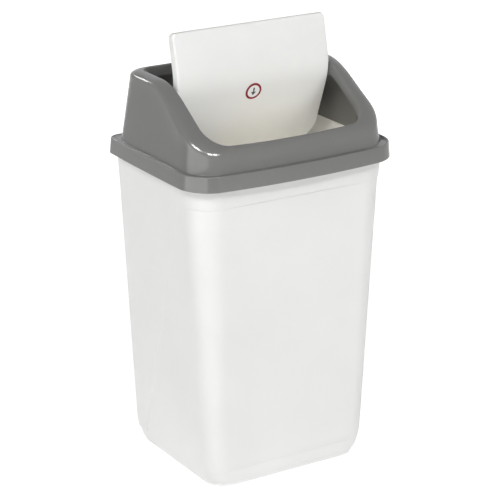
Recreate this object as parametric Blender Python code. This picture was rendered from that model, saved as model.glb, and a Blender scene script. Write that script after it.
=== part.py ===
"""Swing-top recycling bin: a tapered body, a lift-off hood and a free-swinging flap.

Lengths are in metres, +Z is up and the wide front faces -Y.
The flap is modelled in its open position.
"""
import math

import bmesh
import bpy
from mathutils import Vector

# Walls and clearances
BODY_WALL = 0.0023
LID_WALL = 0.0023
FLAP_WALL = 0.0022
SEAT_GAP = 0.0003
RIM_CLEARANCE = 0.0012
FLAP_SIDE_GAP = 0.0015
PIVOT_CLEARANCE = 0.0004
LABEL_GAP = 0.0003

# Body: drafted walls between a low and a high level
BODY_RIM_HEIGHT = 0.5565
BODY_LOW_LEVEL = 0.0315
COLLAR_HEIGHT = 0.0570
BODY_LOW_HALF_WIDTH = 0.1575
BODY_HIGH_HALF_WIDTH = 0.1860
BODY_LOW_FRONT = -0.1202
BODY_HIGH_FRONT = -0.1275
BODY_LOW_DEPTH = 0.2647
BODY_HIGH_DEPTH = 0.2755
BODY_LOW_FRONT_RADIUS = 0.0364
BODY_HIGH_FRONT_RADIUS = 0.0485
BODY_LOW_BACK_RADIUS = 0.0200
BODY_HIGH_BACK_RADIUS = 0.0250
RIM_THICKNESS = 0.0030
COLLAR_STEP = 0.0018
COLLAR_BEVEL = 0.0014

# Raised rear part of the side walls; its slanting edge starts low near the back, ends high near the front
PANEL_RISE_LOW = 0.0035
PANEL_RISE_HIGH = 0.0018
PANEL_BOTTOM = 0.0270
PANEL_LEDGE = 0.0015
CREASE_REAR_STEP = 0.0415
CREASE_FRONT_STEP = 0.0685
CREASE_SAG = 0.0060
CREASE_WIDTH = 0.0026
CREASE_STEPS = 8

# Foot and base
FOOT_HEIGHT = 0.0065
FOOT_SIDE_INSET = 0.0118
FOOT_FRONT_INSET = 0.0078
FOOT_BACK_INSET = 0.0060
FOOT_FRONT_RADIUS = 0.0370
FOOT_BACK_RADIUS = 0.0140
FOOT_WIDTH = 0.0050
FOOT_DRAFT = 0.0006
FOOT_STEP = 0.0020
BASE_CURVE_TOP = 0.0475
BASE_CREASE_INSET = 0.0015
FLOOR_THICKNESS = 0.0030
FLOOR_INSET = 0.0140
# Shares of the height from the foot to the panel's edge, and of the way in from the crease
BASE_SHARES = ((0.03, 1.0), (0.18, 0.70), (0.50, 0.42))
PANEL_EDGE_SHARES = (0.18, 0.13)
CREASE_STEP_SHARE = 0.10
FLOOR_CURVE_SHARES = ((0.10, 0.62), (0.35, 0.28), (0.70, 0.10))

# Lid: skirt and gutter, measured outward from the body's wall
SKIRT_SIDE_REACH = 0.0132
SKIRT_FRONT_REACH = 0.0131
SKIRT_BACK_REACH = 0.0073
SKIRT_SIDE_BOW = 0.0023
SKIRT_FRONT_BOW = 0.0147
SKIRT_FRONT_RADIUS = 0.0475
SKIRT_BACK_RADIUS = 0.0225
SKIRT_HEIGHT = 0.0262
SKIRT_DRAFT = 0.0020
BEAD_RADIUS = 0.0020
BEAD_FLAT = 0.0006
LEDGE_THICKNESS = 0.0055
GUTTER_DEPTH = 0.0032
GUTTER_SLOPE = 0.0008

# Lid: hood, measured inward from the skirt and upward from the ledge
HOOD_SIDE_STEP = 0.0108
HOOD_FRONT_STEP = 0.0130
HOOD_BACK_STEP = 0.0111
HOOD_FRONT_BOW = 0.0062
HOOD_FRONT_RADIUS = 0.0495
HOOD_BACK_RADIUS = 0.0385
HOOD_DRAFT_SHARE = 0.105
HOOD_RISE = 0.1185
HOOD_FRONT_RISE = 0.0328
HOOD_FRONT_BLEND = 0.0040
HOOD_BEND_Y = 0.0075
HOOD_BEND_BLEND = 0.0375
HOOD_SLOPE_SHARE = 0.585
HOOD_FILLET = 0.0016
REAR_SHOULDER = 0.0085
FRONT_SHOULDER = 0.0203
REAR_SHOULDER_Y = 0.0200
FRONT_SHOULDER_Y = -0.1100

# Lid: opening, measured inward from the hood's foot
MOUTH_SIDE_STEP = 0.0399
MOUTH_FRONT_STEP = 0.0198
MOUTH_BACK_STEP = 0.0337
MOUTH_FRONT_BOW = 0.0078
MOUTH_FRONT_RADIUS = 0.0360
MOUTH_BACK_RADIUS = 0.0140
CREST_SHARE = 0.79
LIP_DEPTH = 0.0165

# Pivot of the flap and the ears that carry it
PIVOT_Y = 0.0080
PIVOT_RISE = 0.0971
PIN_RADIUS = 0.0028
PIN_REACH = 0.0046
PIN_ROOT = 0.0015
EAR_THICKNESS = 0.0032
EAR_SET_BACK = 0.0004
EAR_HALF_WIDTH = 0.0070
EAR_RISE = 0.0058
EAR_DROP = 0.0075
CUT_OVERRUN = 0.0015

# Flap: bend point relative to the pivot, lengths and open angles
FLAP_BEND_Y = -0.0147
FLAP_BEND_Z = 0.0122
FLAP_UPPER_LENGTH = 0.0913
FLAP_LOWER_LENGTH = 0.1520
FLAP_UPPER_LEAN = math.radians(13.3)
FLAP_LOWER_LEAN = math.radians(20.5)
FLAP_BEND_TANGENT = 0.0320
FLAP_TOP_RADIUS = 0.0100
FLAP_LOW_RADIUS = 0.0370
FLAP_LOW_BOW = 0.0060
FLAP_FLANGE = 0.0160
FLAP_EDGE_RADIUS = 0.0036
FLAP_BEND_STEPS = 9
FLAP_ROWS = 3

# Round label on the flap
LABEL_RADIUS = 0.0152
LABEL_THICKNESS = 0.0004
LABEL_DROP = 0.0277

# Divisions of the outlines
CORNER_STEPS = 8
FRONT_SHARES = (0.0, 0.35, 0.7)
BACK_SHARES = (0.6, 0.0)
LID_SIDE_SHARES = (0.14, 0.28, 0.41, 0.54, 0.67, 0.80)
CREASE_FRONT_SHARE = 0.5
CREASE_REAR_SHARES = (0.35, 0.7)
PIN_SIDES = 20
LABEL_SIDES = 40
EDGE_STEPS = 3
SHOULDER_STEPS = 5
LIP_STEPS = 4
BEAD_STEPS = 2

# Levels and outlines that follow from the sizes above
BODY_HIGH_LEVEL = BODY_RIM_HEIGHT - COLLAR_HEIGHT
BODY_LOW_BACK = BODY_LOW_FRONT + BODY_LOW_DEPTH
BODY_HIGH_BACK = BODY_HIGH_FRONT + BODY_HIGH_DEPTH
CREASE_LOW_Y = BODY_LOW_BACK - CREASE_REAR_STEP
CREASE_HIGH_Y = BODY_HIGH_FRONT + CREASE_FRONT_STEP
LEDGE_UNDERSIDE = BODY_RIM_HEIGHT + SEAT_GAP
LEDGE_TOP = LEDGE_UNDERSIDE + LEDGE_THICKNESS
SKIRT_BOTTOM = LEDGE_TOP - SKIRT_HEIGHT
SKIRT_HALF_WIDTH = BODY_HIGH_HALF_WIDTH + SKIRT_SIDE_REACH
SKIRT_FRONT = BODY_HIGH_FRONT - SKIRT_FRONT_REACH
SKIRT_BACK = BODY_HIGH_BACK + SKIRT_BACK_REACH
HOOD_HALF_WIDTH = SKIRT_HALF_WIDTH - HOOD_SIDE_STEP
HOOD_FRONT = SKIRT_FRONT + HOOD_FRONT_STEP
HOOD_BACK = SKIRT_BACK - HOOD_BACK_STEP
HOOD_TOP = LEDGE_TOP + HOOD_RISE
HOOD_FRONT_TOP = LEDGE_TOP + HOOD_FRONT_RISE
MOUTH_HALF_WIDTH = HOOD_HALF_WIDTH - MOUTH_SIDE_STEP
MOUTH_FRONT = HOOD_FRONT + MOUTH_FRONT_STEP
MOUTH_BACK = HOOD_BACK - MOUTH_BACK_STEP
PIVOT_Z = LEDGE_TOP + PIVOT_RISE
FLAP_HALF_WIDTH = MOUTH_HALF_WIDTH - FLAP_SIDE_GAP
WHITE = (0.80, 0.80, 0.79, 1.0)
FLAP_WHITE = (0.82, 0.82, 0.80, 1.0)
GREY = (0.19, 0.19, 0.185, 1.0)
LABEL_WHITE = (0.85, 0.85, 0.85, 1.0)


def clear_objects():
    """Remove every object of the open file."""
    for item in list(bpy.data.objects):
        bpy.data.objects.remove(item, do_unlink=True)


def make_material(name, colour, roughness):
    """Plain plastic material."""
    material = bpy.data.materials.new(name)
    material.use_nodes = True
    shader = material.node_tree.nodes["Principled BSDF"]
    shader.inputs["Base Color"].default_value = colour
    shader.inputs["Roughness"].default_value = roughness
    shader.inputs["Metallic"].default_value = 0.0
    material.diffuse_color = colour
    return material


def mix(low, high, share):
    """Value at a share of the way from low to high."""
    return low + (high - low) * share


def mix_sizes(low, high, share):
    """Outline size between two others."""
    return tuple(mix(a, b, share) for a, b in zip(low, high))


def arc_points(centre_x, centre_y, radius, start):
    """Quarter circle in CORNER_STEPS steps."""
    points = []
    for step in range(CORNER_STEPS + 1):
        angle = start + math.pi / 2 * step / CORNER_STEPS
        points.append((centre_x + radius * math.cos(angle), centre_y + radius * math.sin(angle)))
    return points


def half_outline(size, sides, step, extra):
    """Right half of a rounded outline, from the middle of the front to the middle of the back."""
    width, front, back, front_radius, back_radius = size
    wide = width + extra
    points = [(share * (width - front_radius), front) for share in FRONT_SHARES]
    points += arc_points(width - front_radius, front + front_radius, front_radius, -math.pi / 2)
    points += [(wide if index >= step else width, place) for index, place in enumerate(sides)]
    points += arc_points(wide - back_radius, back - back_radius, back_radius, 0.0)
    points += [(share * (wide - back_radius), back) for share in BACK_SHARES]
    return points


def full_outline(half):
    """Whole outline, mirrored in X, running anticlockwise seen from above."""
    mirrored = [(-x, y) for x, y in reversed(half[1:-1])]
    return half + mirrored


def bow_outline(points, size, front_bow, side_bow):
    """Bow the front edge forward and the sides outward."""
    width, front, back = size[:3]
    middle = (front + back) / 2
    bowed = []
    for x, y in points:
        along = max(0.0, (middle - y) / (middle - front))
        reach = (y - middle) / (back - middle)
        new_y = y - front_bow * (1 - (x / width) ** 2) * along
        new_x = x + side_bow * (1 - reach ** 2) * x / width
        bowed.append((new_x, new_y))
    return bowed


def shrink(size, inset):
    """Outline size moved inward by an inset."""
    width, front, back, front_radius, back_radius = size
    return (width - inset, front + inset, back - inset, front_radius - inset, back_radius - inset)


def side_places(size):
    """Places along the side of a lid outline."""
    start = size[1] + size[3]
    end = size[2] - size[4]
    return [mix(start, end, share) for share in LID_SIDE_SHARES]


def lid_outline(size, front_bow, side_bow):
    """Full bowed outline for the lid."""
    half = half_outline(size, side_places(size), 0, 0.0)
    return bow_outline(full_outline(half), size, front_bow, side_bow)


def at_height(points, height):
    """Outline points lifted to one height."""
    return [Vector((x, y, height)) for x, y in points]


def loop_edges(verts):
    """Edges of a closed loop of vertices."""
    count = len(verts)
    edges = []
    for index in range(count):
        pair = (verts[index], verts[(index + 1) % count])
        edges.append(next(edge for edge in pair[0].link_edges if pair[1] in edge.verts))
    return edges


def start_loop(bm, points):
    """First loop of a skin."""
    verts = [bm.verts.new(point) for point in points]
    for index in range(len(verts)):
        bm.edges.new((verts[index], verts[(index + 1) % len(verts)]))
    return verts


def extrude_loop(bm, verts, points):
    """Extrude a loop of edges and move the new loop to its places."""
    made = bmesh.ops.extrude_edge_only(bm, edges=loop_edges(verts))["geom"]
    fresh = {item for item in made if isinstance(item, bmesh.types.BMVert)}
    result = []
    for vert, point in zip(verts, points):
        partner = next(e.other_vert(vert) for e in vert.link_edges if e.other_vert(vert) in fresh)
        partner.co = point
        result.append(partner)
    return result


def finish_mesh(name, bm, material):
    """Turn a bmesh into a smooth-shaded object."""
    bmesh.ops.recalc_face_normals(bm, faces=bm.faces)
    if bm.calc_volume(signed=True) < 0:
        bmesh.ops.reverse_faces(bm, faces=bm.faces)
    mesh = bpy.data.meshes.new(name)
    bm.to_mesh(mesh)
    bm.free()
    mesh.materials.append(material)
    mesh.shade_smooth()
    mesh.set_sharp_from_angle(angle=math.radians(35))
    item = bpy.data.objects.new(name, mesh)
    bpy.context.scene.collection.objects.link(item)
    return item


def skin_capped(name, rings, material):
    """Closed solid from rings, capped at both ends."""
    bm = bmesh.new()
    first = start_loop(bm, rings[0])
    verts = first
    for ring in rings[1:]:
        verts = extrude_loop(bm, verts, ring)
    bmesh.ops.contextual_create(bm, geom=first)
    bmesh.ops.contextual_create(bm, geom=verts)
    return finish_mesh(name, bm, material)


def skin_round(name, rings, material):
    """Closed solid from rings whose last one joins the first."""
    bm = bmesh.new()
    first = start_loop(bm, rings[0])
    verts = first
    for ring in rings[1:] + rings[:1]:
        verts = extrude_loop(bm, verts, ring)
    bmesh.ops.weld_verts(bm, targetmap=dict(zip(verts, first)))
    return finish_mesh(name, bm, material)


# Body


def body_share(height):
    """Share of the way up the drafted wall."""
    return (height - BODY_LOW_LEVEL) / (BODY_HIGH_LEVEL - BODY_LOW_LEVEL)


def body_size(height):
    """Outline size of the drafted wall at a height."""
    share = body_share(height)
    return (
        mix(BODY_LOW_HALF_WIDTH, BODY_HIGH_HALF_WIDTH, share),
        mix(BODY_LOW_FRONT, BODY_HIGH_FRONT, share),
        mix(BODY_LOW_BACK, BODY_HIGH_BACK, share),
        mix(BODY_LOW_FRONT_RADIUS, BODY_HIGH_FRONT_RADIUS, share),
        mix(BODY_LOW_BACK_RADIUS, BODY_HIGH_BACK_RADIUS, share),
    )


def crease_y(height):
    """Place of the slanting edge on the side wall."""
    share = min(1.0, max(0.0, body_share(height)))
    return mix(CREASE_LOW_Y, CREASE_HIGH_Y, share) - CREASE_SAG * 4 * share * (1 - share)


def crease_places(size, height):
    """Side places around the slanting edge."""
    start = size[1] + size[3]
    end = size[2] - size[4]
    near = crease_y(height) - CREASE_WIDTH / 2
    far = crease_y(height) + CREASE_WIDTH / 2
    places = [mix(start, near, CREASE_FRONT_SHARE), near, far]
    return places + [mix(far, end, share) for share in CREASE_REAR_SHARES]


def body_ring(height, inset, extra, level):
    """Ring of the body: the drafted outline of one level, inset, at a height."""
    size = shrink(body_size(level), inset)
    half = half_outline(size, crease_places(size, level), 2, extra)
    return at_height(full_outline(half), height)


def panel_rise(height):
    """How far the rear of the side stands proud."""
    return mix(PANEL_RISE_LOW, PANEL_RISE_HIGH, body_share(height))


def wall_levels():
    """Heights of the rings up the wall."""
    levels = [BASE_CURVE_TOP]
    for step in range(1, CREASE_STEPS + 1):
        levels.append(mix(BASE_CURVE_TOP, BODY_HIGH_LEVEL, step / CREASE_STEPS))
    return levels


def foot_size():
    """Outline size of the foot ring."""
    width, front, back = body_size(BODY_LOW_LEVEL)[:3]
    radii = (FOOT_FRONT_RADIUS, FOOT_BACK_RADIUS)
    return (width - FOOT_SIDE_INSET, front + FOOT_FRONT_INSET, back - FOOT_BACK_INSET, *radii)


def low_ring(size, height, extra):
    """Ring of the base with the side places of the low level."""
    half = half_outline(size, crease_places(size, BODY_LOW_LEVEL), 2, extra)
    return at_height(full_outline(half), height)


def foot_ring(height, inset):
    """Ring of the foot."""
    return low_ring(shrink(foot_size(), inset), height, 0.0)


def base_ring(height, share, extra):
    """Ring of the rounded base, at a share of the way from the wall's crease to the foot."""
    crease = shrink(body_size(BODY_LOW_LEVEL), BASE_CREASE_INSET)
    return low_ring(mix_sizes(crease, shrink(foot_size(), -FOOT_STEP), share), height, extra)


def base_rings():
    """Underside, foot ring and rounded base."""
    rings = [
        foot_ring(FOOT_HEIGHT, FOOT_WIDTH + FOOT_DRAFT),
        foot_ring(0.0, FOOT_WIDTH),
        foot_ring(0.0, 0.0),
        foot_ring(FOOT_HEIGHT, -FOOT_DRAFT),
    ]
    for rise, share in BASE_SHARES:
        rings.append(base_ring(mix(FOOT_HEIGHT, PANEL_BOTTOM, rise), share, 0.0))
    rings.append(base_ring(PANEL_BOTTOM, PANEL_EDGE_SHARES[0], 0.0))
    rings.append(base_ring(PANEL_BOTTOM + PANEL_LEDGE, PANEL_EDGE_SHARES[1], PANEL_RISE_LOW))
    rings.append(base_ring(BODY_LOW_LEVEL - PANEL_LEDGE / 2, CREASE_STEP_SHARE, PANEL_RISE_LOW))
    rings.append(base_ring(BODY_LOW_LEVEL, 0.0, PANEL_RISE_LOW))
    return rings


def rim_size():
    """Outline of the rim flange, inside the lid's skirt."""
    outline = (SKIRT_HALF_WIDTH, SKIRT_FRONT, SKIRT_BACK, SKIRT_FRONT_RADIUS, SKIRT_BACK_RADIUS)
    return shrink(outline, SKIRT_DRAFT + LID_WALL + RIM_CLEARANCE)


def rim_ring(height, inset):
    """Ring of the rim flange with the body's own side places."""
    size = shrink(rim_size(), inset)
    half = half_outline(size, crease_places(size, BODY_HIGH_LEVEL), 2, 0.0)
    return at_height(bow_outline(full_outline(half), size, SKIRT_FRONT_BOW, SKIRT_SIDE_BOW), height)


def upper_rings():
    """Collar and rim flange."""
    collar = BODY_HIGH_LEVEL + COLLAR_BEVEL
    neck = BODY_RIM_HEIGHT - RIM_THICKNESS * 2
    under = BODY_RIM_HEIGHT - RIM_THICKNESS
    return [
        body_ring(collar, -COLLAR_STEP, 0.0, collar),
        body_ring(neck, -COLLAR_STEP, 0.0, neck),
        rim_ring(under, RIM_THICKNESS / 4),
        rim_ring(under + RIM_THICKNESS / 4, 0.0),
        rim_ring(BODY_RIM_HEIGHT - RIM_THICKNESS / 4, 0.0),
        rim_ring(BODY_RIM_HEIGHT, RIM_THICKNESS / 4),
        body_ring(BODY_RIM_HEIGHT, BODY_WALL - COLLAR_STEP, 0.0, BODY_RIM_HEIGHT),
    ]


def inner_rings():
    """Inside of the wall, from the collar down to the floor."""
    collar = BODY_HIGH_LEVEL + COLLAR_BEVEL
    rings = [body_ring(collar, BODY_WALL - COLLAR_STEP, 0.0, collar)]
    for level in reversed(wall_levels()):
        rings.append(body_ring(level, BODY_WALL, panel_rise(level), level))
    floor = FOOT_HEIGHT + FLOOR_THICKNESS
    for inset, rise in FLOOR_CURVE_SHARES:
        height = mix(floor, BASE_CURVE_TOP, rise)
        depth = BODY_WALL + BASE_CREASE_INSET + FLOOR_INSET * inset
        rings.append(body_ring(height, depth, 0.0, BODY_LOW_LEVEL))
    rings.append(body_ring(floor, BODY_WALL + BASE_CREASE_INSET + FLOOR_INSET, 0.0, BODY_LOW_LEVEL))
    return rings


def make_body(material):
    """The bin's body in one moulding."""
    rings = base_rings()
    for level in wall_levels():
        rings.append(body_ring(level, 0.0, panel_rise(level), level))
    rings += upper_rings() + inner_rings()
    return skin_capped("bin_body", rings, material)


# Lid


def crest_height(y):
    """Height of the rim's crest for a place on the hood's wall."""
    ahead = y - HOOD_BEND_Y
    if ahead >= HOOD_BEND_BLEND:
        drop = 0.0
    elif ahead <= -HOOD_BEND_BLEND:
        drop = -HOOD_SLOPE_SHARE * ahead
    else:
        drop = HOOD_SLOPE_SHARE * (HOOD_BEND_BLEND - ahead) ** 2 / (4 * HOOD_BEND_BLEND)
    spare = HOOD_TOP - drop - HOOD_FRONT_TOP
    if spare >= HOOD_FRONT_BLEND:
        return HOOD_FRONT_TOP + spare
    if spare <= -HOOD_FRONT_BLEND:
        return HOOD_FRONT_TOP
    return HOOD_FRONT_TOP + (spare + HOOD_FRONT_BLEND) ** 2 / (4 * HOOD_FRONT_BLEND)


def shoulder_depth(y):
    """Depth of the rounded shoulder below the crest."""
    share = (y - REAR_SHOULDER_Y) / (FRONT_SHOULDER_Y - REAR_SHOULDER_Y)
    return mix(REAR_SHOULDER, FRONT_SHOULDER, min(1.0, max(0.0, share)))


def hood_size():
    """Outline of the hood at its foot."""
    return (HOOD_HALF_WIDTH, HOOD_FRONT, HOOD_BACK, HOOD_FRONT_RADIUS, HOOD_BACK_RADIUS)


def hood_wall(height, inset):
    """Outline of the hood's drafted wall at a height."""
    lean = HOOD_DRAFT_SHARE * (height - LEDGE_TOP)
    size = shrink(hood_size(), inset)
    width, front, back, front_radius, back_radius = size
    size = (width - lean, front + lean, back - lean, front_radius, back_radius)
    return lid_outline(size, HOOD_FRONT_BOW, 0.0)


def mouth_outline(grow):
    """Outline of the opening."""
    size = (MOUTH_HALF_WIDTH, MOUTH_FRONT, MOUTH_BACK, MOUTH_FRONT_RADIUS, MOUTH_BACK_RADIUS)
    return lid_outline(shrink(size, -grow), MOUTH_FRONT_BOW, 0.0)


def wall_tops(inset):
    """Places on the wall where the shoulder starts, with the crest height and shoulder depth."""
    low = hood_wall(LEDGE_TOP, inset)
    high = hood_wall(HOOD_TOP, inset)
    places = []
    for (low_x, low_y), (high_x, high_y) in zip(low, high):
        crest = crest_height(low_y)
        depth = shoulder_depth(low_y)
        share = (crest - depth - LEDGE_TOP) / (HOOD_TOP - LEDGE_TOP)
        places.append((mix(low_x, high_x, share), mix(low_y, high_y, share), crest, depth))
    return places


def rim_drop(across, shoulder, wall):
    """Drop below the crest at a share across the rim, a wall's thickness inside the surface."""
    if across < CREST_SHARE:
        away = 1 - across / CREST_SHARE
        scale = shoulder - wall
    else:
        away = (across - CREST_SHARE) / (1 - CREST_SHARE)
        scale = LIP_DEPTH - wall
    return wall + scale * (1 - math.sqrt(max(0.0, 1 - away ** 2)))


def rim_band(walls, mouth, across, wall):
    """Ring across the rim."""
    ring = []
    for (wall_x, wall_y, crest, shoulder), (x, y) in zip(walls, mouth):
        height = crest - rim_drop(across, shoulder, wall)
        ring.append(Vector((mix(wall_x, x, across), mix(wall_y, y, across), height)))
    return ring


def rim_places():
    """Shares across the rim, close together where it turns fastest."""
    places = []
    for step in range(SHOULDER_STEPS):
        places.append(CREST_SHARE * (1 - math.cos(math.pi / 2 * step / SHOULDER_STEPS)))
    for step in range(LIP_STEPS + 1):
        places.append(mix(CREST_SHARE, 1.0, math.sin(math.pi / 2 * step / LIP_STEPS)))
    return places


def skirt_ring(height, inset):
    """Ring of the skirt."""
    size = (SKIRT_HALF_WIDTH, SKIRT_FRONT, SKIRT_BACK, SKIRT_FRONT_RADIUS, SKIRT_BACK_RADIUS)
    return at_height(lid_outline(shrink(size, inset), SKIRT_FRONT_BOW, SKIRT_SIDE_BOW), height)


def skirt_rings():
    """Outside of the skirt, its rounded bead and the gutter up to the hood's foot."""
    rings = [skirt_ring(SKIRT_BOTTOM, 0.0)]
    for step in range(BEAD_STEPS + 1):
        angle = math.pi / 2 * step / BEAD_STEPS
        inset = SKIRT_DRAFT + BEAD_RADIUS * (1 - math.cos(angle))
        rings.append(skirt_ring(LEDGE_TOP - BEAD_RADIUS * (1 - math.sin(angle)), inset))
    edge = SKIRT_DRAFT + BEAD_RADIUS + BEAD_FLAT
    floor = LEDGE_TOP - GUTTER_DEPTH
    rings += [
        skirt_ring(LEDGE_TOP, edge),
        skirt_ring(floor, edge + GUTTER_SLOPE * 2),
        at_height(hood_wall(floor, -HOOD_FILLET), floor),
        at_height(hood_wall(floor + HOOD_FILLET, 0.0), floor + HOOD_FILLET),
    ]
    return rings


def lid_rings():
    """Rings of the lid: skirt, gutter, hood wall, rim and the inside back to the skirt."""
    rings = skirt_rings()
    walls = wall_tops(0.0)
    mouth = mouth_outline(0.0)
    shares = rim_places()
    rings += [rim_band(walls, mouth, across, 0.0) for across in shares]
    inner_walls = wall_tops(LID_WALL)
    inner_mouth = mouth_outline(LID_WALL)
    rings += [rim_band(inner_walls, inner_mouth, across, LID_WALL) for across in reversed(shares)]
    rings += [
        at_height(hood_wall(LEDGE_UNDERSIDE, LID_WALL), LEDGE_UNDERSIDE),
        skirt_ring(LEDGE_UNDERSIDE, SKIRT_DRAFT + LID_WALL),
        skirt_ring(SKIRT_BOTTOM, LID_WALL),
    ]
    return rings


def make_block(name, low, high):
    """Box between two corners, as a helper shape."""
    bm = bmesh.new()
    bmesh.ops.create_cube(bm, size=1.0)
    size = high - low
    bmesh.ops.scale(bm, vec=size, verts=bm.verts)
    bmesh.ops.translate(bm, vec=(low + high) / 2, verts=bm.verts)
    return helper_object(name, bm)


def make_rod(name, start, end, radius, place):
    """Rod along X through a place, as a helper shape."""
    bm = bmesh.new()
    bmesh.ops.create_cone(
        bm, cap_ends=True, segments=PIN_SIDES, radius1=radius, radius2=radius, depth=end - start
    )
    for vert in bm.verts:
        x, y, z = vert.co
        vert.co = (z + (start + end) / 2, place[0] + x, place[1] + y)
    bmesh.ops.recalc_face_normals(bm, faces=bm.faces)
    return helper_object(name, bm)


def helper_object(name, bm):
    """Hidden helper that a Boolean reads."""
    mesh = bpy.data.meshes.new(name)
    bm.to_mesh(mesh)
    bm.free()
    item = bpy.data.objects.new(name, mesh)
    bpy.context.scene.collection.objects.link(item)
    item.hide_render = True
    item.display_type = "WIRE"
    return item


def add_boolean(item, helper, operation):
    """Exact Boolean with a helper."""
    modifier = item.modifiers.new(helper.name, "BOOLEAN")
    modifier.operation = operation
    modifier.solver = "EXACT"
    modifier.object = helper


def make_lid(material):
    """Lid in one moulding, with an ear and a pivot hole on each side."""
    lid = skin_round("lid_hood", lid_rings(), material)
    inner = MOUTH_HALF_WIDTH + EAR_SET_BACK
    outer = inner + EAR_THICKNESS
    low = (PIVOT_Y - EAR_HALF_WIDTH, PIVOT_Z - EAR_DROP)
    high = (PIVOT_Y + EAR_HALF_WIDTH, PIVOT_Z + EAR_RISE)
    right = make_block("ear_right", Vector((inner, *low)), Vector((outer, *high)))
    left = make_block("ear_left", Vector((-outer, *low)), Vector((-inner, *high)))
    add_boolean(lid, right, "UNION")
    add_boolean(lid, left, "UNION")
    reach = outer + CUT_OVERRUN
    bore = PIN_RADIUS + PIVOT_CLEARANCE
    hole = make_rod("pivot_hole", -reach, reach, bore, (PIVOT_Y, PIVOT_Z))
    add_boolean(lid, hole, "DIFFERENCE")
    return lid


# Flap


def flap_marks():
    """Bend radius and the lengths of the flap's outer face, measured down from its top edge."""
    turn = FLAP_UPPER_LEAN + FLAP_LOWER_LEAN
    radius = FLAP_BEND_TANGENT / math.tan(turn / 2)
    first = FLAP_UPPER_LENGTH - FLAP_BEND_TANGENT
    second = first + radius * turn
    return radius, first, second, second + FLAP_LOWER_LENGTH - FLAP_BEND_TANGENT


def flap_place(down, out):
    """Y and Z from the pivot of a point down the outer face and out from it."""
    radius, first, second, _ = flap_marks()
    angle = min(max(down - first, 0.0) / radius, (second - first) / radius)
    lean = FLAP_UPPER_LEAN - angle
    top_y = FLAP_BEND_Y + math.sin(FLAP_UPPER_LEAN) * FLAP_BEND_TANGENT
    top_z = FLAP_BEND_Z + math.cos(FLAP_UPPER_LEAN) * FLAP_BEND_TANGENT
    centre_y = top_y + math.cos(FLAP_UPPER_LEAN) * radius
    centre_z = top_z - math.sin(FLAP_UPPER_LEAN) * radius
    y = centre_y - math.cos(lean) * (radius + out)
    z = centre_z + math.sin(lean) * (radius + out)
    past = min(down - first, 0.0) + max(down - second, 0.0)
    return y - math.sin(lean) * past, z - math.cos(lean) * past


def corner_arc(centre, radius, start):
    """Quarter turn around a corner of the flap's flat outline."""
    points = []
    for step in range(CORNER_STEPS + 1):
        angle = start + math.pi / 2 * step / CORNER_STEPS
        points.append((centre[0] + radius * math.cos(angle), centre[1] + radius * math.sin(angle)))
    return points


def flap_outline(inset):
    """Flat outline of the flap as X and distance down, with a bowed lower edge."""
    width = FLAP_HALF_WIDTH - inset
    top = inset
    foot = flap_marks()[3] - FLAP_LOW_BOW - inset
    small = FLAP_TOP_RADIUS - inset
    large = FLAP_LOW_RADIUS - inset
    half = [(0.0, top)]
    half += corner_arc((width - small, top + small), small, -math.pi / 2)
    half += corner_arc((width - large, foot - large), large, 0.0)
    half += [(share * (width - large), foot) for share in reversed(FRONT_SHARES)]
    middle = foot / 2
    points = []
    for x, down in full_outline(half):
        along = max(0.0, (down - middle) / (foot - middle))
        points.append((x, down + FLAP_LOW_BOW * (1 - (x / width) ** 2) * along))
    return points


def flap_rings():
    """Flat rings of the tray: inside face, flange and rounded outer face."""
    wall = FLAP_WALL
    rings = [
        (flap_outline(wall), -wall),
        (flap_outline(wall), -FLAP_FLANGE),
        (flap_outline(0.0), -FLAP_FLANGE),
    ]
    for step in range(EDGE_STEPS + 1):
        angle = math.pi / 2 * step / EDGE_STEPS
        inset = FLAP_EDGE_RADIUS * (1 - math.cos(angle))
        out = -FLAP_EDGE_RADIUS * (1 - math.sin(angle))
        rings.append((flap_outline(inset), out))
    return [[Vector((x, down, out)) for x, down in outline] for outline, out in rings]


def cut_rows(bm, rows):
    """Split the flat tray along rows, so that it can bend."""
    for row in rows:
        geometry = list(bm.verts) + list(bm.edges) + list(bm.faces)
        bmesh.ops.bisect_plane(bm, geom=geometry, plane_co=(0, row, 0), plane_no=(0, 1, 0))


def bend_rows():
    """Rows across the bend and along the straight parts."""
    _, first, second, end = flap_marks()
    rows = [mix(first, second, step / FLAP_BEND_STEPS) for step in range(FLAP_BEND_STEPS + 1)]
    rows += [mix(0.0, first, step / FLAP_ROWS) for step in range(1, FLAP_ROWS)]
    rows += [mix(second, end, step / (FLAP_ROWS + 1)) for step in range(1, FLAP_ROWS)]
    return rows


def bend_mesh(bm):
    """Bend a flat mesh onto the flap's face, around the pivot."""
    for vert in bm.verts:
        x, down, out = vert.co
        y, z = flap_place(down, out)
        vert.co = (x, y, z)


def flap_skin(bm):
    """Flat tray with both faces filled."""
    rings = flap_rings()
    first = start_loop(bm, rings[0])
    verts = first
    for ring in rings[1:]:
        verts = extrude_loop(bm, verts, ring)
    bmesh.ops.contextual_create(bm, geom=first)
    bmesh.ops.contextual_create(bm, geom=verts)


def make_flap(material, parent):
    """Bent flap with a pin on each side; its origin is the pivot."""
    bm = bmesh.new()
    flap_skin(bm)
    cut_rows(bm, bend_rows())
    bend_mesh(bm)
    flap = finish_mesh("swing_flap", bm, material)
    root = FLAP_HALF_WIDTH - PIN_ROOT
    tip = FLAP_HALF_WIDTH + PIN_REACH
    for side, start, end in (("right", root, tip), ("left", -tip, -root)):
        pin = make_rod("pin_" + side, start, end, PIN_RADIUS, (0.0, 0.0))
        pin.parent = flap
        add_boolean(flap, pin, "UNION")
    flap.parent = parent
    flap.location = (0.0, PIVOT_Y, PIVOT_Z)
    return flap


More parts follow.
